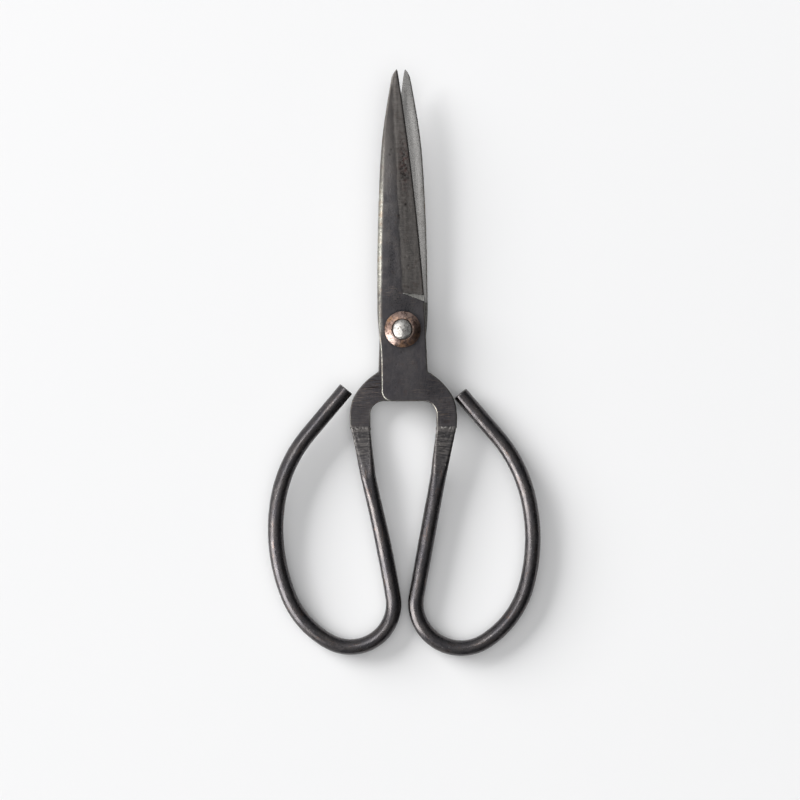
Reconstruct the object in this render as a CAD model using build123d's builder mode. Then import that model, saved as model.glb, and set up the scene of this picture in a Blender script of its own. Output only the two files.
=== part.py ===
"""Floral snips: two forged blades on one rivet, each with a bent rod welded on as an open loop.

+Z is the rivet's axis, towards the front blade, and +Y points to the tips. The origin is the
middle of the rear rivet head's flat end, on which the snips lie. The front half has its back
at -X and its handle at +X. The rear half is the same forging turned over about the Y axis.
"""
import os
from math import cos, radians, sin

from build123d import *

# Driving dimensions, in millimetres and degrees.
plate_thickness = 3.0        # blade at the pivot
tip_thickness = 1.2          # blade at the point
mating_gap = 0.1             # between the two blades
edge_thickness = 0.42        # land behind the cutting edge
bevel_angle = 19.6           # ground face, measured from the flat of the blade

tip = (-1.5, 88.5)           # point of the blade
edge_end = (-1.1, 87.9)      # cutting edge, from the point ...
edge_belly = (3.72, 51.0)    # ... over its belly ...
edge_heel = (7.33, 11.7)     # ... to the ledge
ledge_inner = (0.0, 12.3)    # ledge wall, at the outer face
ledge_outer = (7.53, 9.45)
blade_back = [(-8.55, 14.0), (-7.2, 57.0), (-5.6, 71.6), (-3.3, 85.0), tip]   # ends of its arcs
tang_x = -7.35               # side of the tang
tang_end_y = -24.5           # its square end
tang_corner = 3.5
crank_corner = 4.6           # inside of the crank
shoulder = (8.4, -14.4)      # outside of the crank
shoulder_corner = 1.2
weld_y = -33.1               # butt weld between the blade's shank and the handle's rod
shank_inner_x = 11.3         # the shank at the weld
shank_outer_x = 18.2

rod_diameter = 5.4
root_corner = 0.8            # rounding of the rod's flattened root
rod_end_break = 0.35         # broken corner of the rod's cut end

rivet_diameter = 5.0
head_radius = 3.42           # peened rivet heads
head_height = 1.3
head_flat_radius = 1.2
head_shoulder = (2.49, 0.36) # on the dome, from the flat end
washer_radius = 6.2          # domed washers
washer_height = 1.35
washer_rim = 0.55
washer_seat_radius = 3.6
washer_play = 0.05           # front washer to front blade
running_clearance = 0.05     # front blade on the rivet, radial

# Rod centre lines past the flattened root: start, heading, and bends as (length, turn inwards).
front_rod_start = (11.8, -50.4)
front_rod_heading = -100.7
front_rod_bends = [(41.8, 0), (4.4, 17.9), (31.4, 115.3), (24.3, 42.2), (30.2, 27.8), (24.2, 28.0),
                   (19.2, 0)]
rear_rod_start = (12.15, -50.3)
rear_rod_heading = -102.3
rear_rod_bends = [(14.7, 0), (27.5, 3.4), (33.0, 127.4), (21.6, 39.9), (32.9, 30.8), (26.2, 31.3),
                  (20.0, 0)]

# Levels along the rivet, from the rear head's flat end.
rear_washer_z = head_height
rear_blade_z = rear_washer_z + washer_height
mating_z = rear_blade_z + plate_thickness            # mating face of the rear blade
middle_z = mating_z + mating_gap / 2
front_blade_z = mating_z + mating_gap                # mating face of the front blade
front_outer_z = front_blade_z + plate_thickness
front_washer_z = front_outer_z + washer_play
front_head_z = front_washer_z + washer_height
rivet_top_z = front_head_z + head_height

middle_line = Axis((0, 0, middle_z), (0, 1, 0))      # turned over about it, front becomes rear


def blade_outline():
    """Sketch of one blade with its tang and cranked shank, back at -X and shank at +X."""
    down = (0, -1)
    with BuildSketch(Plane.XY.offset(front_blade_z)) as outline:
        with BuildLine():
            # Back of the blade up to the point, in tangent arcs.
            course = (0, 1)
            for start, end in zip(blade_back, blade_back[1:]):
                arc = TangentArc(start, end, tangent=course)
                course = arc % 1
            Line(tip, edge_end)
            # Side of the tang, down from the back.
            Spline(blade_back[0], (-8.45, 3.0), (-7.6, -6.0), (tang_x, -15.0), tangents=[down, down])
            # End of the tang, and the inside of the crank down to the weld.
            Polyline((tang_x, -15.0), (tang_x, tang_end_y), (shank_inner_x, tang_end_y),
                     (shank_inner_x, weld_y), (shank_outer_x, weld_y))
            # Outside of the crank, back up to the cutting edge.
            Spline((shank_outer_x, weld_y), (18.3, -29.5), (16.9, -23.0), (13.4, -18.3), shoulder,
                   tangents=[(0.02, 1), (-0.85, 0.53)])
            Line(shoulder, edge_heel)
            ThreePointArc(edge_heel, edge_belly, edge_end)
        make_face()
        corner_roundings = [((tang_x, tang_end_y), tang_corner),
                            ((shank_inner_x, tang_end_y), crank_corner),
                            (shoulder, shoulder_corner)]
        for (x, y), radius in corner_roundings:
            fillet(outline.vertices().sort_by_distance((x, y, 0))[0], radius)
    return outline.sketch


def tip_taper():
    """Wedge above a blade that thins from the ledge to the point."""
    past_tip = tip[1] + 2
    tip_z = front_blade_z + tip_thickness
    clear_z = front_outer_z + 2
    with BuildPart() as wedge:
        with BuildSketch(Plane.YZ):
            Polygon((ledge_inner[1], front_outer_z), (past_tip, tip_z), (past_tip, clear_z),
                    (ledge_inner[1], clear_z), align=None)
        extrude(amount=washer_radius * 3, both=True)
    return wedge.part


def ground_away():
    """Steel ground off above the cutting edge, up to the ledge wall."""
    heel = Vector(*edge_heel, front_blade_z + edge_thickness)
    along_edge = Vector(*edge_end) - Vector(*edge_heel)
    to_back = Vector(-along_edge.Y, along_edge.X, 0).normalized()
    tilt = radians(bevel_angle)
    bevel = Plane(heel, x_dir=along_edge, z_dir=Vector(0, 0, cos(tilt)) - to_back * sin(tilt))
    wall_inner = Vector(*ledge_inner, front_outer_z)
    wall_outer = Vector(*ledge_outer, front_outer_z)
    wall = Plane(heel, z_dir=(wall_inner - heel).cross(wall_outer - heel))
    with BuildPart() as waste:
        with BuildSketch(bevel):
            Rectangle(2.5 * tip[1], 60)
        extrude(amount=3 * plate_thickness)
        split(bisect_by=wall, keep=Keep.TOP)
    return waste.part


def forged_blade(hole_radius):
    """One blade in the front half's place: flat, thinned to the tip, ground and bored."""
    outline = blade_outline()
    taper = tip_taper()
    bevel = ground_away()
    with BuildPart() as blade:
        add(outline)
        extrude(amount=plate_thickness)
        add(taper, mode=Mode.SUBTRACT)
        add(bevel, mode=Mode.SUBTRACT)
        with BuildSketch(Plane.XY.offset(front_blade_z)):
            Circle(hole_radius)
        extrude(amount=plate_thickness, mode=Mode.SUBTRACT)
    return blade.part


def compass(heading, side):
    """Direction in the XY plane of a heading given for the +X side."""
    return Vector(side * cos(radians(heading)), sin(radians(heading)))


def hammered_root(start, heading, side, plate_z):
    """Flattened end of the rod, swelling from the weld to the start of the round rod."""
    shank_middle = side * (shank_inner_x + shank_outer_x) / 2
    weld_middle = (shank_middle, weld_y, plate_z + plate_thickness / 2)
    round_start = (side * start[0], start[1], middle_z)
    with BuildPart() as root:
        with BuildSketch(Plane(weld_middle, x_dir=(0, 0, 1), z_dir=(0, -1, 0))):
            RectangleRounded(plate_thickness, shank_outer_x - shank_inner_x, root_corner)
        with BuildSketch(Plane(round_start, x_dir=(0, 0, 1), z_dir=compass(heading, side))):
            Circle(rod_diameter / 2)
        loft()
    return root.part


def bent_rod(start, heading, bends, side):
    """Round rod along straight runs and tangent bends, with its free end cut square."""
    with BuildPart() as rod:
        with BuildLine() as centre_line:
            point = Vector(side * start[0], start[1], middle_z)
            course = compass(heading, side)
            for length, turn in bends:
                if turn:
                    run = JernArc(point, course, length / radians(abs(turn)), side * turn)
                else:
                    run = Line(point, point + course * length)
                point, course = run @ 1, run % 1
        with BuildSketch(Plane(centre_line.line @ 0, z_dir=centre_line.line % 0)):
            Circle(rod_diameter / 2)
        sweep(path=centre_line.line)
        cut_end = rod.faces().filter_by(GeomType.PLANE).sort_by(Axis.Y)[-1]
        chamfer(cut_end.edges(), rod_end_break)
    return rod.part


def washer_section(seat_z, side):
    """Half section of a washer, flat on seat_z and domed up for side 1, down for side -1."""
    bore = rivet_diameter / 2
    crown_z = seat_z + side * washer_height
    rim_z = seat_z + side * washer_rim
    dome_z = seat_z + side * (washer_rim + 0.65 * (washer_height - washer_rim))
    dome_x = (washer_radius + washer_seat_radius) / 2 + 0.3
    with BuildSketch(Plane.XZ) as section:
        with BuildLine():
            Polyline((washer_seat_radius, crown_z), (bore, crown_z), (bore, seat_z),
                     (washer_radius, seat_z), (washer_radius, rim_z))
            ThreePointArc((washer_radius, rim_z), (dome_x, dome_z), (washer_seat_radius, crown_z))
        make_face()
    return section.sketch


os.makedirs("parts", exist_ok=True)

# Front half. It turns on the rivet, so its hole has a running clearance.
front_forging = forged_blade(rivet_diameter / 2 + running_clearance)
with BuildPart() as front_blade:
    add(front_forging)

front_root = hammered_root(front_rod_start, front_rod_heading, 1, front_blade_z)
front_rod = bent_rod(front_rod_start, front_rod_heading, front_rod_bends, 1)
with BuildPart() as front_handle:
    add(front_root)
    add(front_rod)

# Rear half. The same forging turned over, fixed on the rivet.
rear_forging = forged_blade(rivet_diameter / 2)
with BuildPart() as rear_blade:
    add(rear_forging.rotate(middle_line, 180))

rear_root = hammered_root(rear_rod_start, rear_rod_heading, -1, rear_blade_z)
rear_rod = bent_rod(rear_rod_start, rear_rod_heading, rear_rod_bends, -1)
with BuildPart() as rear_handle:
    add(rear_root)
    add(rear_rod)

# Washers, domed away from the blades.
front_section = washer_section(front_washer_z, 1)
with BuildPart() as front_washer:
    add(front_section)
    revolve(axis=Axis.Z)

rear_section = washer_section(rear_blade_z, -1)
with BuildPart() as rear_washer:
    add(rear_section)
    revolve(axis=Axis.Z)

# Rivet: its shank through both blades and washers, with a hammered dome at each end.
with BuildPart() as rivet:
    with BuildSketch(Plane.XZ):
        with BuildLine():
            Polyline((0, 0), (head_flat_radius, 0))
            ThreePointArc((head_flat_radius, 0), head_shoulder, (head_radius, head_height))
            Polyline((head_radius, head_height), (rivet_diameter / 2, head_height),
                     (rivet_diameter / 2, front_head_z), (head_radius, front_head_z))
            ThreePointArc((head_radius, front_head_z), (head_shoulder[0], rivet_top_z - head_shoulder[1]),
                          (head_flat_radius, rivet_top_z))
            Polyline((head_flat_radius, rivet_top_z), (0, rivet_top_z), (0, 0))
        make_face()
    revolve(axis=Axis.Z)

pieces = {
    "front_blade": front_blade,
    "front_handle": front_handle,
    "rear_blade": rear_blade,
    "rear_handle": rear_handle,
    "front_washer": front_washer,
    "rear_washer": rear_washer,
    "rivet": rivet,
}
for name, piece in pieces.items():
    piece.part.label = name
    export_step(piece.part, f"parts/{name}.step")
    print(name, round(piece.part.volume, 1), piece.part.bounding_box())
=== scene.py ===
"""Floral snips lying on a pale table, seen from straight above.

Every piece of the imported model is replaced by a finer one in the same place: two forged blades,
two bent rods, two domed washers and the rivet. Meshes are worked out in millimetres and stored
in metres. Blades are made in their own flat frame (u, v, w): u across towards the shank, v along
towards the tip, w up from the mating face. The rear blade is the same forging turned over.
"""
import math
import random
import bmesh
import bpy
import numpy as np
from mathutils import Matrix, Vector, noise
from mathutils.geometry import delaunay_2d_cdt


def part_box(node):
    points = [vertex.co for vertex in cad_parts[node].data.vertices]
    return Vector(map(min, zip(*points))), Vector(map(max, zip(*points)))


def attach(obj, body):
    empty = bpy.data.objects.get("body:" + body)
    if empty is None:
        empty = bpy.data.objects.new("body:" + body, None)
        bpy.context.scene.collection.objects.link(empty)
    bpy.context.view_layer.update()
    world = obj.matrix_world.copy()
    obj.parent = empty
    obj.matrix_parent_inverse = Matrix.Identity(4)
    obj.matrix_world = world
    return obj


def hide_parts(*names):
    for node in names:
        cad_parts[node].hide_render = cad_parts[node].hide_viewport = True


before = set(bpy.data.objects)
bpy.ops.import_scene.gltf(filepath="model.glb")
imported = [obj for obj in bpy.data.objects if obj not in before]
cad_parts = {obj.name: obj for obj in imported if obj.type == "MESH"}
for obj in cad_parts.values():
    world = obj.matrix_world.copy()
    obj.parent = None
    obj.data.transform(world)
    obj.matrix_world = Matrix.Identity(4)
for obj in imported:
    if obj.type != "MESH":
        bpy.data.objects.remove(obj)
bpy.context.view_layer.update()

MM = 0.001

# Levels and sizes read from the frame, in millimetres.
front_face_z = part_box("front_blade")[0].z / MM
rear_face_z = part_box("rear_blade")[1].z / MM
middle_z = (front_face_z + rear_face_z) / 2
plate = (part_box("front_blade")[1].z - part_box("front_blade")[0].z) / MM
weld_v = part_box("front_blade")[0].y / MM
tip_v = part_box("front_blade")[1].y / MM

# Blade shape, as in the part.
tip_plate = 1.2
taper_v = 12.3                      # the plate thins from here to the tip
edge_land = 0.42
bevel_slope = math.tan(math.radians(19.6))
heel = (7.33, 11.7)
edge_end = (-1.1, 87.9)
ledge_inner = (0.0, 12.3)
ledge_outer = (7.53, 9.45)
grid_step = 0.33
hole_radius = 2.55

# Rivet heads, as in the part.
head_height = 1.3
head_flat = 1.2                     # radius of the flat end

# Rods, as in the part: start, heading, (length, turn) bends.
rod_radius = 2.7
shank_inner = 11.3
shank_outer = 18.2
front_rod = ((11.8, -50.4), -100.7,
             [(41.8, 0), (4.4, 17.9), (31.4, 115.3), (24.3, 42.2),
              (30.2, 27.8), (24.2, 28.0), (19.2, 0)])
rear_rod = ((12.15, -50.3), -102.3,
            [(14.7, 0), (27.5, 3.4), (33.0, 127.4), (21.6, 39.9),
             (32.9, 30.8), (26.2, 31.3), (20.0, 0)])


def smooth(low, high, x):
    """Smooth step from 0 at low to 1 at high, on numbers or arrays."""
    t = np.clip((np.asarray(x, float) - low) / (high - low), 0, 1)
    return t * t * (3 - 2 * t)


def rough_noise(points, period, seed):
    """Fractal noise, about -1 to 1, at a list of 3-D points in millimetres."""
    shift = Vector((seed * 7.31, seed * 3.17, seed * 5.77))
    return np.array([noise.fractal(Vector(p) / period + shift, 1.0, 2.0, 3) for p in points])


def new_piece(name, replaced, body, vertices_mm, faces, attributes, materials, sharp_angle,
              indices=None):
    """Makes a smooth-shaded mesh piece in the frame, riding on a body in place of a CAD node."""
    mesh = bpy.data.meshes.new(name)
    mesh.from_pydata([tuple(float(c) * MM for c in v) for v in vertices_mm], [], faces)
    for material in materials:
        mesh.materials.append(material)
    if indices is not None:
        mesh.polygons.foreach_set("material_index", indices)
    for key, values in attributes.items():
        values = np.asarray(values, np.float32)
        has_axes = values.ndim == 2
        layer = mesh.attributes.new(key, "FLOAT_VECTOR" if has_axes else "FLOAT", "POINT")
        layer.data.foreach_set("vector" if has_axes else "value", values.ravel())
    mesh.shade_smooth()
    mesh.set_sharp_from_angle(angle=math.radians(sharp_angle))
    mesh.validate()
    mesh.update()
    piece = bpy.data.objects.new(name, mesh)
    bpy.context.scene.collection.objects.link(piece)
    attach(piece, body)
    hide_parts(replaced)
    return piece


def face_outwards(piece):
    """Welds doubled points and turns every face outwards."""
    mesh = bmesh.new()
    mesh.from_mesh(piece.data)
    bmesh.ops.remove_doubles(mesh, verts=mesh.verts, dist=1e-7)
    bmesh.ops.recalc_face_normals(mesh, faces=mesh.faces)
    mesh.to_mesh(piece.data)
    mesh.free()


def ring_faces(a, b, around):
    """Quads between two rings of points, numbered from a and from b."""
    return [(a + k, a + (k + 1) % around, b + (k + 1) % around, b + k) for k in range(around)]


# ---------------------------------------------------------------- blades

def outline_loops(node, face_z, side):
    """Closed loops round a blade's mating face as (u, v) arrays, the outer one first."""
    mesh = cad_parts[node].data
    mesh.calc_loop_triangles()
    spot = {}
    key_of = []
    for vertex in mesh.vertices:
        x, y, z = (c / MM for c in vertex.co)
        key = (round(x, 3), round(y, 3), round(z, 3))
        spot[key] = (side * x, y)
        key_of.append(key)
    count = {}
    for tri in mesh.loop_triangles:
        keys = [key_of[i] for i in tri.vertices]
        if max(abs(k[2] - face_z) for k in keys) > 0.002:
            continue
        for a, b in zip(keys, keys[1:] + keys[:1]):
            if a != b:
                edge = (min(a, b), max(a, b))
                count[edge] = count.get(edge, 0) + 1
    ways = {}
    for (a, b), uses in count.items():
        if uses == 1:
            ways.setdefault(a, []).append(b)
            ways.setdefault(b, []).append(a)
    loops = []
    while ways:
        start = next(iter(ways))
        loop = [start]
        here = start
        while ways.get(here):
            step = ways[here].pop()
            ways[step].remove(here)
            if step == start:
                break
            loop.append(step)
            here = step
        ways = {key: others for key, others in ways.items() if others}
        if len(loop) > 3:
            loops.append(np.array([spot[k] for k in loop]))
    loops.sort(key=lambda l: -np.ptp(l[:, 1]))
    return loops


def area(loop):
    """Area of a closed loop, positive when it runs anticlockwise."""
    x, y = loop[:, 0], loop[:, 1]
    return 0.5 * np.sum(x * np.roll(y, -1) - y * np.roll(x, -1))


def resample(loop, step):
    """Points on a closed loop, about step apart and never closer than a third of it."""
    out = []
    for a, b in zip(loop, np.roll(loop, -1, axis=0)):
        n = max(1, math.ceil(np.linalg.norm(b - a) / step))
        for i in range(n):
            p = a + (b - a) * i / n
            if not out or np.linalg.norm(p - out[-1]) > step / 3:
                out.append(p)
    return np.array(out)


def nearest_on(loop, points, skip=None):
    """Distance to a closed loop and the nearest point on it, for each point."""
    a, b = loop, np.roll(loop, -1, axis=0)
    if skip is not None:
        keep = ~skip(a, b)
        a, b = a[keep], b[keep]
    ab = b - a
    length2 = np.maximum((ab ** 2).sum(1), 1e-12)
    best = np.full(len(points), 1e9)
    where = np.zeros((len(points), 2))
    for start in range(0, len(points), 2000):
        p = points[start:start + 2000]
        t = np.clip(((p[:, None] - a) * ab).sum(2) / length2, 0, 1)
        foot = a + t[..., None] * ab
        gap = np.linalg.norm(p[:, None] - foot, axis=2)
        i = gap.argmin(1)
        rows = np.arange(len(p))
        best[start:start + 2000] = gap[rows, i]
        where[start:start + 2000] = foot[rows, i]
    return best, where


def inside(loop, points):
    """True where a point is inside a closed loop."""
    x, y = points[:, 0], points[:, 1]
    result = np.zeros(len(points), bool)
    for (x0, y0), (x1, y1) in zip(loop, np.roll(loop, -1, axis=0)):
        if y0 != y1:
            result ^= ((y0 > y) != (y1 > y)) & (x < (x1 - x0) * (y - y0) / (y1 - y0) + x0)
    return result


edge_way = Vector((edge_end[0] - heel[0], edge_end[1] - heel[1])).normalized()
to_back = Vector((-edge_way.y, edge_way.x))


def plate_height(v):
    """Height of the flat outer face."""
    return plate - (plate - tip_plate) * np.clip((v - taper_v) / (tip_v + 2 - taper_v), 0, 1)


def bevel_height(u, v):
    """Height of the ground bevel's plane."""
    return edge_land + ((u - heel[0]) * to_back.x + (v - heel[1]) * to_back.y) * bevel_slope


def wall_height(u, v):
    """Height of the ledge wall's plane, which falls steeply towards the tip."""
    a = Vector((*ledge_inner, plate))
    b = Vector((*heel, edge_land))
    c = Vector((*ledge_outer, plate))
    n = (b - a).cross(c - a)
    return a.z - ((u - a.x) * n.x + (v - a.y) * n.y) / n.z


def crossing(f, g, start, end):
    """Point from start to end where two heights are equal, by halving."""
    a, b = np.array(start, float), np.array(end, float)
    sign = np.sign(f(*a) - g(*a))
    for _ in range(50):
        m = (a + b) / 2
        if np.sign(f(*m) - g(*m)) == sign:
            a = m
        else:
            b = m
    return (a + b) / 2


def crease_lines():
    """Creases as (start, end): the ledge's top, the ledge's foot and the bevel's upper border."""
    def flat_height(u, v):
        return plate_height(v)

    foot_end = np.array(heel)
    top_end = np.array(ledge_outer)
    corner = crossing(bevel_height, flat_height, ledge_inner, top_end)
    near_tip = crossing(bevel_height, flat_height, (-9.0, 84.0), (2.0, 84.0))
    return [(corner, corner + (top_end - corner) * 1.2),
            (corner, foot_end + (foot_end - corner) * 0.05),
            (corner, corner + (near_tip - corner) * 1.06)]


def corner_radii(foot, w):
    """Rounding of the outer and mating corners, from the nearest point of the outline."""
    u, v = foot[:, 0], foot[:, 1]
    edge_gap = np.abs((u - heel[0]) * to_back.x + (v - heel[1]) * to_back.y)
    cutting = (edge_gap < 1.1) & (u > -1.6) & (v > 9.0)
    back = (u < -1.0) & (v > -26)
    outer = np.where(back, 0.45 + 0.85 * smooth(-4, 8, v) * (1 - smooth(46, 80, v)), 0.5)
    outer = np.where(cutting, 0.5 - 0.45 * smooth(9.5, 12.2, v), outer)
    mating = np.where(back, 0.22 + 0.16 * smooth(0, 20, v), 0.25)
    mating = np.where(cutting, 0.25 * (1 - smooth(9.5, 12.2, v)) + 0.01, mating)
    return np.minimum(outer, 0.62 * w), np.minimum(mating, 0.3 * w), cutting, back


def rounding(gap, radius):
    """How far a quarter-round corner drops, at a gap from the outline."""
    inner = np.clip(radius - gap, 0, None)
    return radius - np.sqrt(np.maximum(radius ** 2 - inner ** 2, 0))


def pit_map(u, v, seed):
    """Depth, 0 to 1, of corrosion pits: a patch beside the edge, three lone ones and a scatter."""
    random.seed(seed)
    pits = []
    for _ in range(46):
        pits.append((random.gauss(0.9, 0.8), random.gauss(55.5, 4.6), random.uniform(0.12, 0.34)))
    pits += [(1.3, 42.5, 0.45), (-0.9, 38.7, 0.32), (-0.85, 37.9, 0.28)]
    for _ in range(46):
        pits.append((random.uniform(-8, 16), random.uniform(-34, 84), random.uniform(0.12, 0.26)))
    depth = np.zeros(len(u))
    for pu, pv, size in pits:
        near = np.exp(-(((u - pu) / size) ** 2 + ((v - pv) / (size * 1.3)) ** 2))
        depth = np.maximum(depth, near * min(1.0, 0.5 + size))
    return depth


def blade_triangles(outer, hole):
    """Points and triangles of a blade's outline, fine at its border and with edges on its creases."""
    tangent = np.roll(outer, -1, axis=0) - np.roll(outer, 1, axis=0)
    normal = np.stack([-tangent[:, 1], tangent[:, 0]], 1) / np.linalg.norm(tangent, axis=1)[:, None]
    rings = []
    for depth in (0.04, 0.1, 0.18, 0.28, 0.42, 0.62, 0.9, 1.25):
        ring = outer + normal * depth
        gap, _ = nearest_on(outer, ring)
        rings.append(ring[(gap > depth * 0.93) & inside(outer, ring)])
    low, high = outer.min(0), outer.max(0)
    rows = []
    for j, v in enumerate(np.arange(low[1], high[1], grid_step * 0.866)):
        u = np.arange(low[0] + (j % 2) * grid_step / 2, high[0], grid_step)
        rows.append(np.stack([u, np.full(len(u), v)], 1))
    grid = np.concatenate(rows)
    grid = grid[inside(outer, grid)]
    gap, _ = nearest_on(outer, grid)
    loose = np.concatenate(rings + [grid[gap > 1.4]])
    loose = loose[np.linalg.norm(loose, axis=1) > hole_radius + 0.15]

    # Points and edges along the creases; loose points too near them are dropped.
    n_outer, n_hole = len(outer), len(hole)
    crease_points = []
    edges = [(i, (i + 1) % n_outer) for i in range(n_outer)]
    edges += [(n_outer + i, n_outer + (i + 1) % n_hole) for i in range(n_hole)]
    for a, b in crease_lines():
        length = np.linalg.norm(b - a)
        n = int(length / grid_step) + 1
        first = n_outer + n_hole + len(crease_points)
        crease_points += [a + (b - a) * i / n for i in range(n + 1)]
        edges += [(first + i, first + i + 1) for i in range(n)]
        way = (b - a) / length
        off = (loose - a) @ np.array([-way[1], way[0]])
        along = (loose - a) @ way
        loose = loose[~((np.abs(off) < 0.14) & (along > -0.1) & (along < length + 0.1))]

    points = np.concatenate([outer, hole, np.array(crease_points), loose])
    result = delaunay_2d_cdt([Vector(p) for p in points], edges, [], 0, 1e-4)
    flat = np.array([tuple(p) for p in result[0]])
    tris = np.array([tuple(t) for t in result[2]])
    centre = flat[tris].mean(1)
    tris = tris[inside(outer, centre) & (np.linalg.norm(centre, axis=1) > hole_radius * 0.985)]
    a, b, c = flat[tris[:, 0]], flat[tris[:, 1]], flat[tris[:, 2]]
    doubled_area = (b[:, 0] - a[:, 0]) * (c[:, 1] - a[:, 1]) - (c[:, 0] - a[:, 0]) * (b[:, 1] - a[:, 1])
    tris[doubled_area < 0] = tris[doubled_area < 0][:, ::-1]
    tris = tris[np.abs(doubled_area) > 1e-7]
    used = np.unique(tris)
    renumber = np.full(len(flat), -1)
    renumber[used] = np.arange(len(used))
    return flat[used], renumber[tris]


def blade_marks(u, v, gap, back, cutting, in_front):
    """How worn, filed, mottled, corroded and darkened by painted edge shade a blade is at each point, 0 to
    about 1.
    """
    def patch(at_u, at_v, wide, tall):
        return np.exp(-((u - at_u) / wide) ** 2 - ((v - at_v) / tall) ** 2)

    strip = back * (1 - smooth(0.7, 2.0, gap)) * (0.4 * smooth(-3, 2, v) + 0.6 * smooth(10, 20, v))
    strip = strip * (1.15 - 0.82 * smooth(43, 52, v) - 0.33 * smooth(54, 68, v))
    tang_rim = 0.85 * (u < -4.5) * smooth(2, -4, v)
    rim = np.maximum(0.3, tang_rim + 0.7 * patch(11.2, -27.5, 1.8, 4.5))
    wear = np.maximum(strip, rim * (1 - smooth(0.15, 0.55, gap)) * (1 - cutting))
    # The front shoulder is darker and less scratched than the rear one.
    shoulder = patch(10.5, -20, 5.5, 6.0) * (1.1 - 0.7 * in_front)
    filed = np.maximum(shoulder, 0.6 * patch(14, -28, 4.5, 6.0))
    # Darker patches near the back edge, above the washer and on the front shoulder, and painted shade in a
    # ring round the washer.
    mottle = 0.65 * np.maximum(patch(-3.5, 22, 1.5, 9.0), patch(-1.8, 14, 1.3, 4.0))
    mottle += 0.8 * patch(1.0, 8.5, 5.0, 3.0) + 0.7 * in_front * patch(10.5, -19, 4.5, 5.0)
    mottle = np.minimum(mottle + 0.6 * np.exp(-((np.hypot(u - 0.3, v) - 6.3) / 0.7) ** 2), 1)
    # Painted shade: a dark stripe just inside the cutting edge, where the edge's narrow land lies in
    # shadow.
    cutting_edge_shade = cutting * (1 - smooth(0.3, 0.55, gap)) * smooth(9.5, 12, v)
    return wear, filed, mottle, patch(0.9, 56, 1.7, 7.5), cutting_edge_shade


def make_blade(name, face_z, side, body, materials, seed):
    """One blade: finely triangulated top and mating faces over the CAD outline, joined by its sides."""
    def at_weld(a, b):
        return (np.abs(a[:, 1] - weld_v) < 1e-2) & (np.abs(b[:, 1] - weld_v) < 1e-2)

    outer, hole = outline_loops(name, face_z, side)[:2]
    if area(outer) < 0:
        outer = outer[::-1]
    outer, hole = resample(outer, 0.4), resample(hole, 0.4)
    flat, tris = blade_triangles(outer, hole)
    u, v = flat[:, 0], flat[:, 1]
    n = len(flat)

    # Heights of both faces.
    flat_top, bevel, wall = plate_height(v), bevel_height(u, v), wall_height(u, v)
    soft = 0.08 + 0.1 * smooth(16, 30, v) + 0.2 * smooth(48, 76, v)
    soft_crease = -soft * np.logaddexp(-flat_top / soft, -bevel / soft)
    plain = np.where(wall > bevel, np.minimum(flat_top, wall), soft_crease)
    ground = smooth(-0.3, 0.42, flat_top - bevel) * (wall < bevel)
    gap, foot = nearest_on(outer, flat, at_weld)
    outer_radius, mating_radius, cutting, back = corner_radii(foot, plain)
    spots = np.stack([u, v, np.zeros(n)], 1)
    swell = rough_noise(spots, 9.0, seed) * 0.035 + rough_noise(spots, 2.6, seed + 1) * 0.012 - 0.05
    calm = smooth(6.0, 8.0, np.hypot(u, v)) * smooth(0.0, 2.0, v - weld_v)
    crown = 0.2 * np.exp(-gap / 1.8) * back * smooth(8, 18, v) * (1 - 0.5 * smooth(50, 80, v))
    top = plain - rounding(gap, outer_radius) - crown + swell * calm * smooth(0.1, 0.8, plain - 0.3)
    hollow = 0.09 * smooth(14, 26, v) * (1 - smooth(72, 86, v)) * smooth(0.5, 3.0, gap)
    bottom = rounding(gap, mating_radius) + hollow
    pits = pit_map(u, v, seed)
    face_pits = pit_map(-u, v, seed + 40) * 0.6
    top = np.maximum(top - 0.07 * pits * calm, bottom + 0.05)

    # Faces: top, mating face, and the sides between their borders.
    edges = [(int(t[p]), int(t[q])) for t in tris for p, q in ((0, 1), (1, 2), (2, 0))]
    known = set(edges)
    faces = [tuple(int(i) for i in t) for t in tris]
    faces += [tuple(int(i) + n for i in t[::-1]) for t in tris]
    faces += [(p, p + n, q + n, q) for p, q in edges if (q, p) not in known]

    # Materials: 0 scale and bevel, 1 mating face, 2 ledge.
    centre_u, centre_v = flat[tris].mean(1).T
    wall = wall_height(centre_u, centre_v)
    on_wall = (wall > bevel_height(centre_u, centre_v)) & (wall < plate_height(centre_v) - 1e-4)
    in_rim = gap[tris].mean(1) < mating_radius[tris].mean(1) * 0.9
    indices = list(np.where(on_wall, 2, 0)) + list(np.where(in_rim | (centre_v < 9.0), 0, 1))
    indices += [0] * (len(faces) - len(indices))

    wear, filed, mottle, corroded, cutting_edge_shade = blade_marks(u, v, gap, back, cutting, float(side > 0))
    none = np.zeros(n)
    marks = {"wear": (wear, wear * 0.6), "pit": (pits, face_pits), "ground": (ground, none),
             "filed": (filed, filed), "mottle": (mottle, none), "corroded": (corroded, none),
             "painted_edge_shadow": (cutting_edge_shade, none)}
    heights = np.concatenate([top, bottom])
    vertices = np.stack([side * np.tile(u, 2), np.tile(v, 2), face_z + side * heights], 1)
    new_piece(name + "_forged", name, body, vertices, faces,
              {key: np.concatenate(both) for key, both in marks.items()}, materials, 28, indices)


# ---------------------------------------------------------------- rods

def rod_path(start, heading, bends, side):
    """Centre points and headings along a rod, in XY, from the round start to the cut end."""
    x, y = side * start[0], start[1]
    angle = math.radians(heading if side > 0 else -180 - heading)
    points = [(x, y)]
    angles = [angle]
    for length, turn in bends:
        n = max(2, round(length / 0.45))
        part = side * math.radians(turn) / n
        chord = length / n * (math.sin(part / 2) / (part / 2) if part else 1)
        for _ in range(n):
            angle += part / 2
            x += chord * math.cos(angle)
            y += chord * math.sin(angle)
            angle += part / 2
            points.append((x, y))
            angles.append(angle)
    return np.array(points), np.array(angles)


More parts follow.
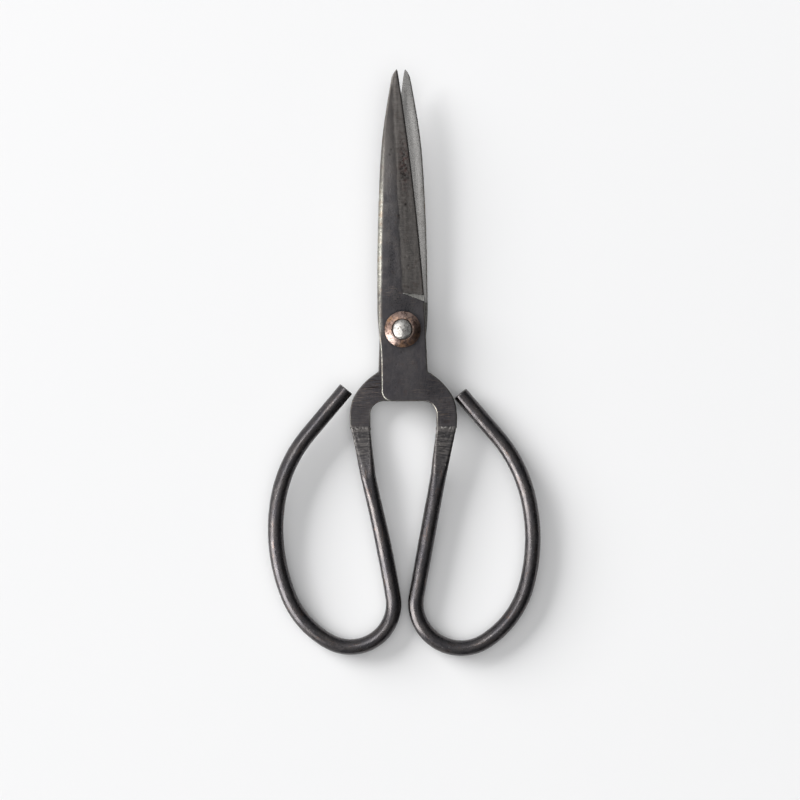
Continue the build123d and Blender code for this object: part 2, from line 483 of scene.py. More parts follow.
def on_rounded_box(half_w, half_h, corner, fraction):
    """Point on a rounded box's outline, a fraction of the way round from its +w side."""
    quarter, part = divmod(fraction * 4, 1)
    w_flat, h_flat, arc = half_w - corner, half_h - corner, corner * math.pi / 2
    if quarter % 2:
        part = 1 - part
    walk = part * (w_flat + h_flat + arc)
    if walk < h_flat:
        w, h = half_w, walk
    elif walk < h_flat + arc:
        turn = (walk - h_flat) / corner
        w, h = w_flat + corner * math.cos(turn), h_flat + corner * math.sin(turn)
    else:
        w, h = w_flat - (walk - h_flat - arc), half_h
    return (w if quarter in (0, 3) else -w), (h if quarter < 2 else -h)


def make_rod(name, rod, side, plate_middle_z, body, materials, seed):
    """A handle: hammered flat root at the weld, round bent rod, square-cut end."""
    points, angles = rod_path(*rod, side)
    weld = np.array([side * (shank_inner + shank_outer) / 2, weld_v])
    weld_angle = -math.pi / 2
    root = points[0] - weld
    s = np.linalg.norm(root)
    # Rings as (centre, heading, 0 to 1 from flat to round, length from the weld).
    rings = []
    root_rings = 40
    root_corner = 0.55
    for i in range(root_rings):
        t = (i / root_rings) ** 1.5
        ease = t * t * (3 - 2 * t)
        rings.append((weld + root * t, weld_angle + (angles[0] - weld_angle) * ease, t, t * s))
    for i, (p, a) in enumerate(zip(points[:-1], angles)):
        if i:
            s += np.linalg.norm(p - points[i - 1])
        rings.append((p, a, 1.0, s))
    total = s
    around = 80
    vertices, coords, wear, flat = [], [], [], []
    plate_half = plate / 2
    width_half = (shank_outer - shank_inner) / 2
    for centre, angle, t, s in rings:
        waist = 0.055 * math.exp(-((s - 26) / 11) ** 2) + 0.06 * math.exp(-((s - 8) / 6) ** 2)
        slim = 1 - waist * (side < 0)
        half_w = width_half + (rod_radius - width_half) * t
        half_h = plate_half + (rod_radius - plate_half) * t ** 1.25
        rounded = root_corner + (rod_radius - root_corner) * float(smooth(0, 30, s))
        corner = min(rounded, half_w, half_h)
        z0 = plate_middle_z + (middle_z - plate_middle_z) * t
        across = np.array([-math.sin(angle), math.cos(angle)]) * side
        for k in range(around):
            w, h = on_rounded_box(half_w, half_h, corner, k / around)
            place = Vector((s, w, h))
            lumps = noise.fractal(Vector((s * 0.055, w * 0.45, h * 0.45 + seed)), 1.0, 2.0, 2) * 0.035
            dints = noise.fractal(Vector((s * 0.45, w * 0.9, h * 0.9 + seed)), 1.0, 2.0, 3) * 0.014
            # The weld bead wanders along the joint and is broken in places.
            bead_at = 0.6 + 1.5 * noise.noise(Vector((w * 0.62, h * 0.62, seed)))
            gaps = noise.noise(Vector((w * 0.8, h * 0.8, seed + 3.3)))
            broken = float(smooth(-0.3 * side, 0.25, gaps))
            near_bead = math.exp(-((s - bead_at) / 0.32) ** 2)
            bead = 0.22 * near_bead * broken * (0.7 + 1.6 * noise.noise(place * 1.7))
            flatness = 1 - float(smooth(0.2, 0.8, t))
            blows = 0.5 + 0.5 * noise.noise(place * 0.55) + 0.7 * noise.noise(place * 1.3)
            hammer = -0.08 * flatness * blows
            at_corner = float(smooth(0.8, 0.97, abs(w) / half_w)) * flatness
            scuff = at_corner * float(smooth(0.0, 0.3, noise.noise(place * 0.6)))
            grow = slim * 0.99 + (lumps + dints + bead + hammer) / rod_radius
            x, y = centre + across * (w * grow)
            vertices.append((x, y, z0 + h * grow))
            coords.append((s, w, h))
            wear.append(max((0.65 + 0.3 * side) * broken * near_bead, 0.8 * scuff))
            flat.append(1 - float(smooth(6, 20, s)))
    last = (len(rings) - 1) * around
    faces = [tuple(reversed(range(around)))]
    for first in range(0, last, around):
        faces += ring_faces(first, first + around, around)

    # The cut end: rings of (shrink, setback) over its broken corner and slightly uneven face.
    end_rings = ((0.995, 0.3), (0.97, 0.16), (0.93, 0.07), (0.88, 0.03), (0.6, 0.02), (0.3, 0.03))
    way = np.array([math.cos(angles[-1]), math.sin(angles[-1])])
    last_step = np.linalg.norm(points[-1] - points[-2])
    previous = last
    for shrink, setback in end_rings:
        first = len(vertices)
        for k in range(around):
            x, y, z = vertices[last + k]
            _, w, h = coords[last + k]
            bump = noise.noise(Vector((x * 1.4, y * 1.4, z * 1.4)))
            burr = 0.05 * (0.5 + 0.5 * bump) * (shrink < 0.98)
            p = points[-2] + (np.array([x, y]) - points[-2]) * shrink + way * (last_step - setback - burr)
            vertices.append((*p, middle_z + (z - middle_z) * shrink))
            coords.append((total + (1 - shrink) * 2, w * shrink, h * shrink))
            wear.append(0.7 if 0.85 < shrink < 0.98 else 0.25)
            flat.append(0.5)
        faces += ring_faces(previous, first, around)
        previous = first
    faces.append(tuple(previous + k for k in range(around)))
    marks = {"rod_place": coords, "wear": wear, "flat": flat}
    face_outwards(new_piece(name + "_rod", name, body, vertices, faces, marks, materials, 34))


# ---------------------------------------------------------------- washers and rivet

def washer_profile(radius, height):
    """Half section of a domed washer from its bore over the dome and back under, seat at 0."""
    bore = 2.52
    crest = 3.85                        # top of the dome
    sink = 0.3                          # fall from the crest in to the bore
    rim = 0.5                           # height of the outer edge
    roll = 0.22                         # rounding of the outer edge
    crown = height - 0.04
    points = [(bore, 0.0), (bore, height - sink)]
    for i in range(9):
        t = i / 8
        points.append((3.0 + (crest - 3.0) * t, crown - sink * (1 - t) ** 2.2))
    n = 26
    for i in range(1, n + 1):
        t = i / n
        points.append((crest + (radius - roll - crest) * t, crown - (crown - rim - 0.12) * t ** 1.35))
    for i in range(1, 7):
        a = math.pi / 2 * i / 6
        points.append((radius - roll + roll * math.sin(a), rim - 0.1 + roll * math.cos(a)))
    points += [(radius, 0.12), (radius - 0.03, 0.04), (radius - 0.12, 0.0), (bore, 0.0)]
    return points


def lobe(degrees, centre, width):
    """Bump of height 1 round a compass direction."""
    return math.exp(-(((degrees - centre + 180) % 360 - 180) / width) ** 2)


def make_washer(name, seat_z, side, materials, seed):
    """Domed washer, slightly uneven from the press and the hammer."""
    low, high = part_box(name)
    profile = washer_profile(high.x / MM, (high.z - low.z) / MM)
    around = 160
    vertices, radii, painted_highlight, painted_shade = [], [], [], []
    for r, z in profile:
        for k in range(around):
            degrees = 360 * k / around
            angle = 2 * math.pi * k / around
            x, y = r * math.cos(angle), r * math.sin(angle)
            lift = noise.fractal(Vector((x * 0.35, y * 0.35, seed)), 1.0, 2.0, 3) * 0.04 - 0.03
            lift *= float(smooth(0.15, 0.6, z)) * float(smooth(2.6, 3.6, r))
            wobble = noise.noise(Vector((math.cos(angle) * 1.2, math.sin(angle) * 1.2, seed)))
            pull = 1 - 0.008 * (0.5 + 0.5 * wobble)
            vertices.append((x * pull, y * pull, seat_z + side * (z + lift)))
            radii.append(r)
            # Colour masks by compass direction: a painted highlight on the lower left that is fainter at
            # the top, and painted shade on the right, a little on the left and at the bottom.
            painted_highlight.append(0.78 * lobe(degrees, 218, 26) + 0.35 * lobe(degrees, 80, 40))
            painted_left_shade = 0.35 * lobe(degrees, 165, 28)
            painted_shade.append(lobe(degrees, 350, 45) + painted_left_shade + 0.4 * lobe(degrees, 270, 25))
    faces = []
    for i in range(len(profile) - 1):
        faces += ring_faces(i * around, (i + 1) * around, around)
    marks = {"radius": radii, "painted_highlight": painted_highlight, "painted_shade": painted_shade}
    face_outwards(new_piece(name + "_domed", name, "rear_half", vertices, faces, marks,
                            materials, 35))


def make_rivet(materials):
    """The rivet: a round shank between two domes faceted by hammer blows."""
    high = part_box("rivet")[1]
    seat_z = high.z / MM - head_height
    radius = high.x / MM
    shank = 2.49
    seed = 11
    random.seed(seed)
    # Each head's facets, as (x, y, slope along x, slope along y, drop).
    blows = []
    for _ in range(2):
        planes = []
        for _ in range(15):
            angle = random.uniform(0, 2 * math.pi)
            out = math.sqrt(random.uniform(0.0, 0.75)) * radius
            px, py = out * math.cos(angle), out * math.sin(angle)
            lean = 0.36 * (out / radius) + random.uniform(-0.05, 0.05)
            drop = random.uniform(0.02, 0.1)
            planes.append((px, py, math.cos(angle) * lean, math.sin(angle) * lean, drop))
        blows.append(planes)
    dents = [(-1.3, 0.45, 0.3), (-0.6, 0.95, 0.26), (0.4, -0.3, 0.32), (0.45, -0.95, 0.24), (0.9, 1.2, 0.3)]

    def dent(x, y):
        return max(math.exp(-((x - dx) ** 2 + (y - dy) ** 2) / size ** 2) for dx, dy, size in dents)

    def dome(x, y):
        r = min(1.0, math.hypot(x, y) / radius)
        return head_height * max(0.0, 1 - r ** 2.3) ** 0.62

    def height(x, y, planes):
        z = dome(x, y)
        for px, py, slope_x, slope_y, drop in planes:
            plane = dome(px, py) - drop - (x - px) * slope_x - (y - py) * slope_y
            if z > plane:
                z = plane + (z - plane) * 0.12
        dimple = noise.fractal(Vector((x * 1.5, y * 1.5, seed)), 1.0, 2.0, 3) * 0.02
        return max(0.0, z + (dimple - 0.08 * dent(x, y)) * min(1.0, z / 0.3) - 0.02)

    def upper(x, y):
        return seat_z + height(x, y, blows[0])

    def lower(x, y):
        return head_height - height(x, y, blows[1])

    around = 120
    vertices = []

    def add_ring(r, z_of):
        first = len(vertices)
        for k in range(around):
            a = 2 * math.pi * k / around
            wobble = noise.noise(Vector((math.cos(a) * 1.5, math.sin(a) * 1.5, z_of(0, 0))))
            uneven = 1 - 0.02 * (0.5 + 0.5 * wobble)
            x, y = r * math.cos(a) * uneven, r * math.sin(a) * uneven
            vertices.append((x, y, z_of(x, y)))
        return first

    rings = [radius * (1 - (1 - i / 46) ** 1.25) for i in range(1, 47)]
    chain = [add_ring(r, upper) for r in rings]
    for r, z in ((radius, seat_z), (shank, seat_z), (shank, head_height), (radius, head_height)):
        chain.append(add_ring(r, lambda x, y: z))
    chain += [add_ring(r, lower) for r in reversed(rings)]
    upper_crown = len(vertices)
    vertices += [(0, 0, upper(0, 0)), (0, 0, lower(0, 0))]
    faces = []
    for k in range(around):
        m = (k + 1) % around
        faces.append((chain[0] + m, chain[0] + k, upper_crown))
        faces.append((chain[-1] + k, chain[-1] + m, upper_crown + 1))
    for a, b in zip(chain, chain[1:]):
        faces += ring_faces(a, b, around)
    pits = [dent(x, y) for x, y, z in vertices]
    # The front head was peened a little to the left, and is narrower across than along.
    vertices = [(0.92 * x - 0.22, y, z) if z >= seat_z else (x, y, z) for x, y, z in vertices]
    face_outwards(new_piece("rivet_peened", "rivet", "rear_half", vertices, faces,
                            {"pit": pits}, materials, 40))


# ---------------------------------------------------------------- materials

def add_node(tree, kind, values=(), **settings):
    """Adds a shader node; values feeds its sockets, as (name or number, output or plain value)."""
    made = tree.nodes.new("ShaderNode" + kind)
    for key, value in settings.items():
        setattr(made, key, value)
    for key, value in values:
        feed(tree, made.inputs[key], value)
    return made


def feed(tree, socket, value):
    """Links a socket to another node's output, or gives it a plain value."""
    if isinstance(value, bpy.types.NodeSocket):
        tree.links.new(value, socket)
    else:
        socket.default_value = value


class Shader:
    """A Principled material with short calls for the nodes used here."""

    def __init__(self, name, metallic, roughness):
        self.material = bpy.data.materials.new(name)
        self.material.use_nodes = True
        self.tree = self.material.node_tree
        self.bsdf = self.tree.nodes["Principled BSDF"]
        self.bsdf.inputs["Metallic"].default_value = metallic
        self.bsdf.inputs["Roughness"].default_value = roughness
        self.bsdf.inputs["IOR"].default_value = 1.5
        self.place = self.scaled(self.node("TexCoord").outputs["Object"], (1000, 1000, 1000))

    def node(self, kind, values=(), **settings):
        return add_node(self.tree, kind, values, **settings)

    def scaled(self, vector, scale, turn=0.0):
        values = [("Vector", vector), ("Scale", scale), ("Rotation", (0, 0, turn))]
        return self.node("Mapping", values).outputs[0]

    def along(self, axis):
        """The place along one axis, in millimetres."""
        return self.node("SeparateXYZ", [(0, self.place)]).outputs[axis]

    def attribute(self, name, output="Fac"):
        return self.node("Attribute", attribute_name=name).outputs[output]

    def noise(self, vector, scale, detail, roughness=0.55, distortion=0.0):
        values = [("Vector", vector), ("Scale", scale), ("Detail", detail), ("Roughness", roughness),
                  ("Distortion", distortion)]
        return self.node("TexNoise", values).outputs["Fac"]

    def stretched(self, scales, detail, roughness=0.55, turn=0.0, distortion=0.0):
        """Noise with its own scale along each axis, turned about Z."""
        return self.noise(self.scaled(self.place, scales, turn), 1.0, detail, roughness, distortion)

    def cells(self, scales):
        """Distance to the nearest of scattered points, with its own scale along each axis."""
        values = [("Vector", self.scaled(self.place, scales)), ("Scale", 1.0)]
        return self.node("TexVoronoi", values, feature="F1").outputs["Distance"]

    def range(self, value, low, high, to_low=0.0, to_high=1.0):
        """Smooth step of a value, from to_low at low to to_high at high."""
        values = [("Value", value), ("From Min", low), ("From Max", high), ("To Min", to_low),
                  ("To Max", to_high)]
        return self.node("MapRange", values, interpolation_type="SMOOTHSTEP").outputs["Result"]

    def math(self, operation, a, b, clamp=False):
        return self.node("Math", [(0, a), (1, b)], operation=operation, use_clamp=clamp).outputs[0]

    def times(self, a, b, clamp=False):
        return self.math("MULTIPLY", a, b, clamp)

    def most(self, a, b, clamp=False):
        return self.math("MAXIMUM", a, b, clamp)

    def mix(self, amount, a, b):
        made = self.node("Mix", [("Factor", amount)], data_type="RGBA")
        sockets = [s for s in made.inputs if s.type == "RGBA"]
        for socket, colour in zip(sockets, (a, b)):
            feed(self.tree, socket, colour if isinstance(colour, bpy.types.NodeSocket) else (*colour, 1))
        return [s for s in made.outputs if s.type == "RGBA"][0]

    def relief(self, height, depth, normal=None, strength=1.0):
        """Bump of a 0 to 1 height, depth in metres."""
        values = [("Strength", strength), ("Distance", depth), ("Height", height)]
        if normal is not None:
            values.append(("Normal", normal))
        return self.node("Bump", values).outputs[0]

    def colour(self, value):
        feed(self.tree, self.bsdf.inputs["Base Color"], value)

    def roughness(self, value):
        feed(self.tree, self.bsdf.inputs["Roughness"], value)

    def normal(self, value):
        feed(self.tree, self.bsdf.inputs["Normal"], value)


def blade_outer():
    """Blackened steel, worn bright on its rims and back, with a brownish ground bevel, painted shade along
    the cutting edge and painted shade round the washer.
    """
    s = Shader("blade_outer", 1.0, 0.4)
    along = s.along("Y")
    cloud = s.noise(s.place, 0.16, 4, 0.6, 0.4)
    grain = s.noise(s.place, 2.4, 5, 0.7)
    streak = s.stretched((0.9, 0.07, 1.0), 4, 0.6, turn=0.03)
    body = s.mix(s.range(cloud, 0.3, 0.7), (0.06, 0.0585, 0.062), (0.101, 0.0955, 0.094))
    body = s.mix(s.range(streak, 0.5, 0.72, 0, 0.35), body, (0.125, 0.12, 0.115))
    body = s.mix(s.range(grain, 0.5, 0.76, 0, 0.4), body, (0.14, 0.133, 0.126))
    rust = s.times(s.range(s.noise(s.place, 0.55, 4, 0.65), 0.56, 0.7),
                  s.range(s.noise(s.place, 3.0, 4, 0.7), 0.42, 0.6))
    body = s.mix(s.times(rust, 0.55), body, (0.085, 0.052, 0.037))
    # The scale is warmer towards the tip, and darkens towards the pivot.
    body = s.mix(s.range(along, 38.0, 66.0, 0.0, 0.55), body, (0.118, 0.107, 0.1))
    dark = s.range(along, 2.0, 62.0, 0.5, 0.0)
    body = s.mix(dark, body, (0.0295, 0.0262, 0.032))
    # Mottle: darker patches with dark spots in them, and painted shade round the washer.
    body = s.mix(s.times(s.attribute("mottle"), 0.68), body, (0.022, 0.022, 0.024))
    spots = s.range(s.cells((1.7, 1.1, 1.0)), 0.42, 0.2)
    body = s.mix(s.times(spots, s.attribute("mottle")), body, (0.016, 0.016, 0.018))
    # Filed and scratched lines across the shank.
    across = s.stretched((0.3, 5.5, 2.0), 4, 0.62, turn=0.07)
    hair = s.stretched((0.5, 12.0, 2.0), 3, 0.6, turn=-0.05)
    loose_patch = s.range(s.noise(s.place, 0.13, 2, 0.5), 0.52, 0.66, 0, 0.5)
    patch = s.math("ADD", s.attribute("filed"), loose_patch, True)
    scratch = s.times(s.range(across, 0.54, 0.7), patch)
    body = s.mix(s.times(scratch, 0.85), body, (0.21, 0.165, 0.135))
    coarse = s.stretched((0.14, 2.1, 1.0), 3, 0.65, turn=0.1)
    furrow = s.times(s.range(coarse, 0.48, 0.37), s.attribute("filed"))
    body = s.mix(s.times(furrow, 0.85), body, (0.021, 0.017, 0.016))
    # Bevel.
    lines = s.stretched((0.14, 2.7, 1.0), 3, 0.65, turn=-0.01)
    fine = s.stretched((0.5, 11.0, 3.0), 2, 0.6, turn=0.02)
    bare = s.mix(s.range(streak, 0.35, 0.68), (0.19, 0.178, 0.17), (0.285, 0.262, 0.245))
    bare = s.mix(s.range(lines, 0.42, 0.7, 0, 0.5), bare, (0.36, 0.33, 0.31))
    bare = s.mix(s.range(fine, 0.55, 0.75, 0, 0.4), bare, (0.4, 0.37, 0.345))
    stain = s.range(s.noise(s.place, 0.3, 5, 0.7, 0.5), 0.53, 0.7)
    bare = s.mix(s.times(stain, 0.5), bare, (0.13, 0.095, 0.08))
    worn_border = s.math("SUBTRACT", s.stretched((1.2, 0.25, 1.0), 4, 0.65), 0.5)
    ground = s.math("ADD", s.attribute("ground"), s.times(worn_border, 0.9), True)
    ground = s.times(s.range(ground, 0.25, 0.85), s.range(s.attribute("ground"), 0.02, 0.2))
    body = s.mix(ground, body, bare)
    # Corrosion: rusty specks in their patch, and pits.
    freckle = s.range(s.noise(s.place, 1.9, 5, 0.75), 0.5, 0.6)
    rusty = s.times(s.range(s.noise(s.place, 0.8, 3, 0.6), 0.42, 0.6), s.attribute("corroded"))
    body = s.mix(s.times(rusty, 0.75), body, (0.25, 0.155, 0.14))
    freckle = s.times(freckle, s.attribute("corroded"))
    body = s.mix(s.times(freckle, 0.85), body, (0.022, 0.014, 0.013))
    body = s.mix(s.times(s.attribute("pit"), 0.9, True), body, (0.018, 0.013, 0.012))
    # Painted shade along the cutting edge.
    body = s.mix(s.times(s.attribute("painted_edge_shadow"), 0.85), body, (0.022, 0.018, 0.017))
    # Rubbed metal.
    wear = s.attribute("wear")
    speck = s.range(s.noise(s.place, 3.4, 4, 0.8), 0.36, 0.56)
    broad = s.range(s.noise(s.place, 0.7, 3, 0.6), 0.3, 0.52, 0.45, 1.0)
    rub = s.times(s.times(wear, broad), s.math("ADD", speck, 0.16), True)
    brown = s.range(s.noise(s.place, 0.3, 3, 0.6), 0.5, 0.66, 0, 0.7)
    bright = s.mix(brown, (0.4, 0.39, 0.345), (0.36, 0.275, 0.205))
    s.colour(s.mix(rub, body, bright))
    rough = s.range(s.noise(s.place, 1.1, 4, 0.6), 0.3, 0.7, 0.34, 0.5)
    s.roughness(s.math("SUBTRACT", rough, s.times(rub, 0.1)))
    n = s.relief(s.noise(s.place, 0.9, 4, 0.6), 0.00006)
    n = s.relief(s.times(across, s.math("ADD", patch, 0.25)), 0.00003, n, 0.7)
    n = s.relief(hair, 0.00001, n, 0.6)
    n = s.relief(s.times(lines, s.attribute("ground")), 0.00006, n, 0.8)
    n = s.relief(freckle, 0.00003, n, -0.8)
    n = s.relief(grain, 0.00003, n, 0.7)
    s.normal(n)
    return s.material


def ground_face():
    """Flat mating face in pale grey steel, ground along the blade."""
    s = Shader("ground_face", 1.0, 0.28)
    along = s.stretched((5.0, 0.09, 1.0), 4, 0.6, turn=0.015)
    cloud = s.noise(s.place, 0.22, 4, 0.6)
    body = s.mix(s.range(along, 0.35, 0.7), (0.205, 0.2, 0.195), (0.25, 0.244, 0.237))
    body = s.mix(s.range(cloud, 0.55, 0.75, 0, 0.5), body, (0.17, 0.161, 0.154))
    marks = s.range(s.stretched((1.6, 0.8, 1.0), 3, 0.6), 0.66, 0.74, 0, 0.5)
    body = s.mix(marks, body, (0.12, 0.112, 0.104))
    # Scuffs across the blade near its point.
    scuff = s.range(s.stretched((0.7, 3.2, 1.0), 3, 0.6, turn=0.2), 0.56, 0.66)
    scuff = s.times(scuff, s.range(s.along("Y"), 73.0, 79.0, 0.0, 0.6))
    body = s.mix(scuff, body, (0.1, 0.09, 0.085))
    s.colour(s.mix(s.times(s.attribute("pit"), 0.8, True), body, (0.12, 0.09, 0.075)))
    s.roughness(s.range(s.noise(s.place, 1.3, 3, 0.6), 0.3, 0.7, 0.24, 0.33))
    n = s.relief(along, 0.000005, None, 0.7)
    n = s.relief(s.stretched((0.8, 0.3, 1.0), 2, 0.5), 0.00001, n, 0.6)
    s.normal(n)
    return s.material


def ground_ledge():
    """Bright steep wall where the grinding wheel stopped."""
    s = Shader("ground_ledge", 1.0, 0.36)
    lines = s.stretched((6.0, 0.4, 0.4), 3, 0.6, turn=0.2)
    s.colour(s.mix(s.range(lines, 0.35, 0.65), (0.31, 0.305, 0.29), (0.6, 0.59, 0.555)))
    s.normal(s.relief(lines, 0.00003, None, 0.7))
    return s.material


def rod_black():
    """Oiled black scale of the drawn rod, with brown and bright rubs."""
    s = Shader("rod_black", 1.0, 0.3)
    s.place = s.attribute("rod_place", "Vector")      # along the rod, across it and up
    cloud = s.stretched((0.12, 0.5, 0.5), 4, 0.6)
    grain = s.noise(s.place, 2.2, 4, 0.7)
    body = s.mix(s.range(cloud, 0.34, 0.66), (0.046, 0.0435, 0.0485), (0.074, 0.067, 0.067))
    brown = s.range(s.stretched((0.22, 0.6, 0.6), 5, 0.7, distortion=0.6), 0.55, 0.7)
    body = s.mix(s.times(brown, 0.6), body, (0.1, 0.06, 0.042))
    # Scratches, mostly along the rod, in patches.
    hairs = s.stretched((0.5, 6.0, 6.0), 3, 0.6)
    patch = s.range(s.stretched((0.16, 0.4, 0.4), 2, 0.5), 0.49, 0.62)
    scratch = s.times(s.range(hairs, 0.64, 0.72), patch)
    nicks = s.range(s.cells((0.9, 1.3, 1.3)), 0.12, 0.05)
    nicks = s.times(nicks, s.range(s.stretched((0.1, 0.3, 0.3), 2), 0.45, 0.56))
    wear = s.attribute("wear")
    speck = s.range(s.noise(s.place, 2.2, 4, 0.75), 0.47, 0.62)
    rub = s.most(s.times(wear, speck), s.times(scratch, 0.6))
    rub = s.most(rub, s.times(nicks, 0.8), True)
    flat = s.attribute("flat")
    ridges = s.stretched((2.0, 0.3, 0.3), 3, 0.65)
    root = s.mix(s.range(ridges, 0.4, 0.62), (0.034, 0.032, 0.033), (0.098, 0.09, 0.087))
    body = s.mix(flat, body, root)
    s.colour(s.mix(rub, body, (0.5, 0.48, 0.45)))
    rough = s.range(s.stretched((0.5, 1.0, 1.0), 4, 0.6), 0.32, 0.66, 0.16, 0.4)
    s.roughness(s.math("ADD", rough, s.times(flat, 0.16)))
    s.bsdf.inputs["Coat Weight"].default_value = 0.4
    s.bsdf.inputs["Coat Roughness"].default_value = 0.16
    n = s.relief(s.stretched((0.35, 1.0, 1.0), 4, 0.6), 0.00008)
    n = s.relief(grain, 0.00005, n, 0.8)
    n = s.relief(scratch, 0.00002, n, -0.6)
    n = s.relief(s.times(ridges, flat), 0.0001, n, 0.8)
    s.normal(n)
    return s.material


def old_copper():
    """Warm copper washer, tarnished brown with mottled bright spots, a painted highlight on its lower left,
    and painted shade on its right and at its bore.
    """
    s = Shader("old_copper", 1.0, 0.34)
    mottle = s.noise(s.place, 0.9, 5, 0.65, 0.3)
    fine = s.noise(s.place, 4.5, 4, 0.7)
    body = s.mix(s.range(mottle, 0.36, 0.66), (0.095, 0.058, 0.046), (0.25, 0.165, 0.132))
    body = s.mix(s.range(fine, 0.55, 0.75, 0, 0.4), body, (0.52, 0.4, 0.35))
    amber = s.range(s.noise(s.place, 0.45, 3, 0.6), 0.5, 0.64, 0, 0.55)
    body = s.mix(amber, body, (0.31, 0.165, 0.075))
    tarnish = s.range(s.noise(s.place, 1.8, 5, 0.7), 0.56, 0.7)
    body = s.mix(s.times(tarnish, 0.65), body, (0.085, 0.042, 0.032))
    # Painted shade, strongest on the right.
    body = s.mix(s.times(s.attribute("painted_shade"), 0.75), body, (0.022, 0.013, 0.01))
    # Painted highlight, strongest on the lower left.
    body = s.mix(s.times(s.attribute("painted_highlight"), s.range(mottle, 0.3, 0.6)), body, (0.5, 0.4, 0.37))
    # Painted shade: a dark ring round the bore, beside the rivet head's edge.
    painted_bore_shade = s.range(s.attribute("radius"), 3.45, 3.85, 0.9, 0.0)
    s.colour(s.mix(painted_bore_shade, body, (0.03, 0.022, 0.018)))
    s.bsdf.inputs["Coat Weight"].default_value = 0.25
    s.bsdf.inputs["Coat Roughness"].default_value = 0.25
    s.roughness(s.range(mottle, 0.3, 0.7, 0.24, 0.38))
    n = s.relief(s.noise(s.place, 1.4, 3, 0.55), 0.00012, None, 0.8)
    n = s.relief(fine, 0.00003, n, 0.8)
    s.normal(n)
    return s.material


def peened_steel():
    """Bright rivet steel, hammered, with dark specks in its dents."""
    s = Shader("peened_steel", 1.0, 0.27)
    cloud = s.noise(s.place, 1.1, 4, 0.6)
    body = s.mix(s.range(cloud, 0.35, 0.65), (0.38, 0.37, 0.355), (0.52, 0.505, 0.485))
    dark = s.range(s.noise(s.place, 2.1, 4, 0.7), 0.52, 0.64)
    body = s.mix(s.times(dark, 0.7), body, (0.14, 0.115, 0.1))
    s.colour(s.mix(s.times(s.attribute("pit"), 0.75), body, (0.12, 0.1, 0.09)))
    s.roughness(s.range(s.noise(s.place, 2.0, 3, 0.6), 0.3, 0.7, 0.3, 0.44))
    n = s.relief(s.noise(s.place, 1.9, 3, 0.6), 0.00016, None, 0.9)
    n = s.relief(s.noise(s.place, 5.0, 3, 0.6), 0.000012, n, 0.6)
    s.normal(n)
    return s.material


# ---------------------------------------------------------------- stage

def table_slope():
    """Rise of the table towards the loops, from the rear rivet head up to both loops' undersides."""
    loop_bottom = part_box("front_handle")[0]
    return (loop_bottom.z / MM) / (-(loop_bottom.y / MM + rod_radius) - head_flat)


def paint_floor():
    """Pale floor plane, tipped so that the snips rest on it; gives its normal."""
    slope = table_slope()
    normal = Vector((0, slope, 1)).normalized()
    mesh = bpy.data.meshes.new("floor")
    half_width = 4.0
    corners = [(x * half_width, y * half_width, 0) for x, y in ((-1, -1), (1, -1), (1, 1), (-1, 1))]
    mesh.from_pydata(corners, [], [(0, 1, 2, 3)])
    floor = bpy.data.objects.new("floor", mesh)
    bpy.context.scene.collection.objects.link(floor)
    floor.rotation_mode = "QUATERNION"
    floor.rotation_quaternion = Vector((0, 0, 1)).rotation_difference(normal)
    floor.location = (0, 0, -head_flat * MM * slope)
    s = Shader("floor_paint", 0.0, 0.75)
    s.colour(s.mix(s.noise(s.place, 0.004, 2, 0.5), (0.86, 0.86, 0.865), (0.875, 0.875, 0.878)))
    s.bsdf.inputs["Specular IOR Level"].default_value = 0.1
    mesh.materials.append(s.material)
    return normal


def softbox(name, target, azimuth, elevation, distance, width, height, radiance, colour, lights_table):
    """Area light of a given radiance, which lights the table or only mirrors in the steel."""
    light = bpy.data.lights.new(name, "AREA")
    light.shape = "RECTANGLE"
    light.size = width
    light.size_y = height
    light.energy = radiance * math.pi * width * height
    light.color = colour
    lamp = bpy.data.objects.new(name, light)
    a, e = math.radians(azimuth), math.radians(elevation)
    way = Vector((math.cos(e) * math.cos(a), math.cos(e) * math.sin(a), math.sin(e)))
    lamp.location = target + way * distance
    lamp.rotation_mode = "QUATERNION"
    lamp.rotation_quaternion = way.to_track_quat("Z", "Y")
    lamp.visible_camera = False
    lamp.visible_diffuse = lights_table
    lamp.visible_glossy = not lights_table
    bpy.context.scene.collection.objects.link(lamp)


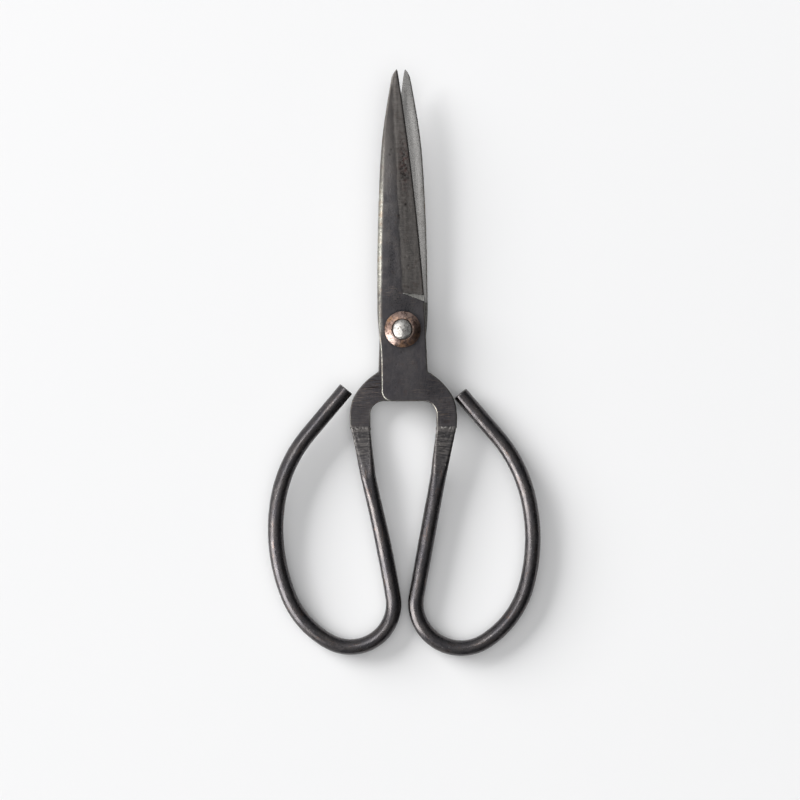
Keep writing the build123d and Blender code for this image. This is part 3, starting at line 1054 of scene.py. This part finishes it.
def studio_world():
    """Pale surroundings, mirrored brighter to the left and overhead; what lights the table is overhead."""
    world = bpy.data.worlds.new("studio")
    bpy.context.scene.world = world
    world.use_nodes = True
    tree = world.node_tree
    tree.nodes.clear()

    def put(kind, values=(), **settings):
        return add_node(tree, kind, values, **settings)

    def facing(direction):
        around = put("TexCoord").outputs["Generated"]
        way = Vector(direction).normalized()
        return put("VectorMath", [(0, around), (1, way)], operation="DOT_PRODUCT").outputs["Value"]

    spread = put("MapRange", [("Value", facing((-0.82, 0.22, 0.53))), ("From Min", -1)])
    ramp = put("ValToRGB", [("Fac", spread.outputs["Result"])])
    stops = ramp.color_ramp.elements
    stops[0].position = 0.38
    stops[0].color = (0.085, 0.087, 0.09, 1)
    stops[1].color = (1, 1, 1, 1)
    stops.new(0.77).color = (0.62, 0.625, 0.63, 1)
    mirrored = put("Background", [("Color", ramp.outputs["Color"]), ("Strength", 1.12)])
    lobe = put("MapRange", [("Value", facing((0.02, 0, 1))), ("From Min", 0.45), ("To Max", 1.22)])
    filling = put("Background", [("Color", (0.995, 0.997, 1.0, 1)), ("Strength", lobe.outputs["Result"])])
    seen = put("Background", [("Color", (0.86, 0.86, 0.865, 1))])
    path = put("LightPath")
    unseen = put("MixShader", [(0, path.outputs["Is Diffuse Ray"]), (1, mirrored.outputs[0]),
                               (2, filling.outputs[0])])
    choose = put("MixShader", [(0, path.outputs["Is Camera Ray"]), (1, unseen.outputs[0]),
                               (2, seen.outputs[0])])
    put("OutputWorld", [("Surface", choose.outputs[0])])


def camera_above(normal, centre, width, lean):
    """Camera square to the table; width is what it sees across, lean turns the snips left in the frame."""
    camera = bpy.data.cameras.new("camera")
    camera.lens = 85
    camera.sensor_width = 36
    holder = bpy.data.objects.new("camera", camera)
    bpy.context.scene.collection.objects.link(holder)
    distance = width * camera.lens / camera.sensor_width
    side = Vector((math.sin(lean), math.cos(lean), 0)).cross(normal).normalized()
    turn = Matrix((side, normal.cross(side), normal)).transposed()
    holder.matrix_world = Matrix.Translation(centre + normal * distance) @ turn.to_4x4()
    bpy.context.scene.camera = holder


# ---------------------------------------------------------------- the snips

blade_materials = [blade_outer(), ground_face(), ground_ledge()]
rod_materials = [rod_black()]
copper = [old_copper()]
steel = [peened_steel()]

make_blade("front_blade", front_face_z, 1, "front_half", blade_materials, 3)
make_blade("rear_blade", rear_face_z, -1, "rear_half", blade_materials, 17)
make_rod("front_handle", front_rod, 1, front_face_z + plate / 2, "front_half", rod_materials, 5)
make_rod("rear_handle", rear_rod, -1, rear_face_z - plate / 2, "rear_half", rod_materials, 23)
make_washer("front_washer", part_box("front_washer")[0].z / MM, 1, copper, 2.3)
make_washer("rear_washer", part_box("rear_washer")[1].z / MM, -1, copper, 8.1)
make_rivet(steel)

up = paint_floor()
target = Vector((-1.1, -24.12, 5.7)) * MM
softbox("window", target, 147, 20, 8.0, 5.6, 3.6, 15.1, (1.0, 1.0, 1.0), True)
softbox("high_card", target, 150, 65, 0.8, 0.42, 0.3, 3.9, (1.0, 1.0, 1.0), False)
softbox("low_card", target, 207, 30, 0.8, 0.5, 0.66, 8.0, (1.0, 0.985, 0.96), False)
studio_world()
camera_above(up, target, 273.7 * MM, math.radians(0.42))
bpy.context.scene.view_settings.view_transform = "Standard"

bpy.context.view_layer.update()
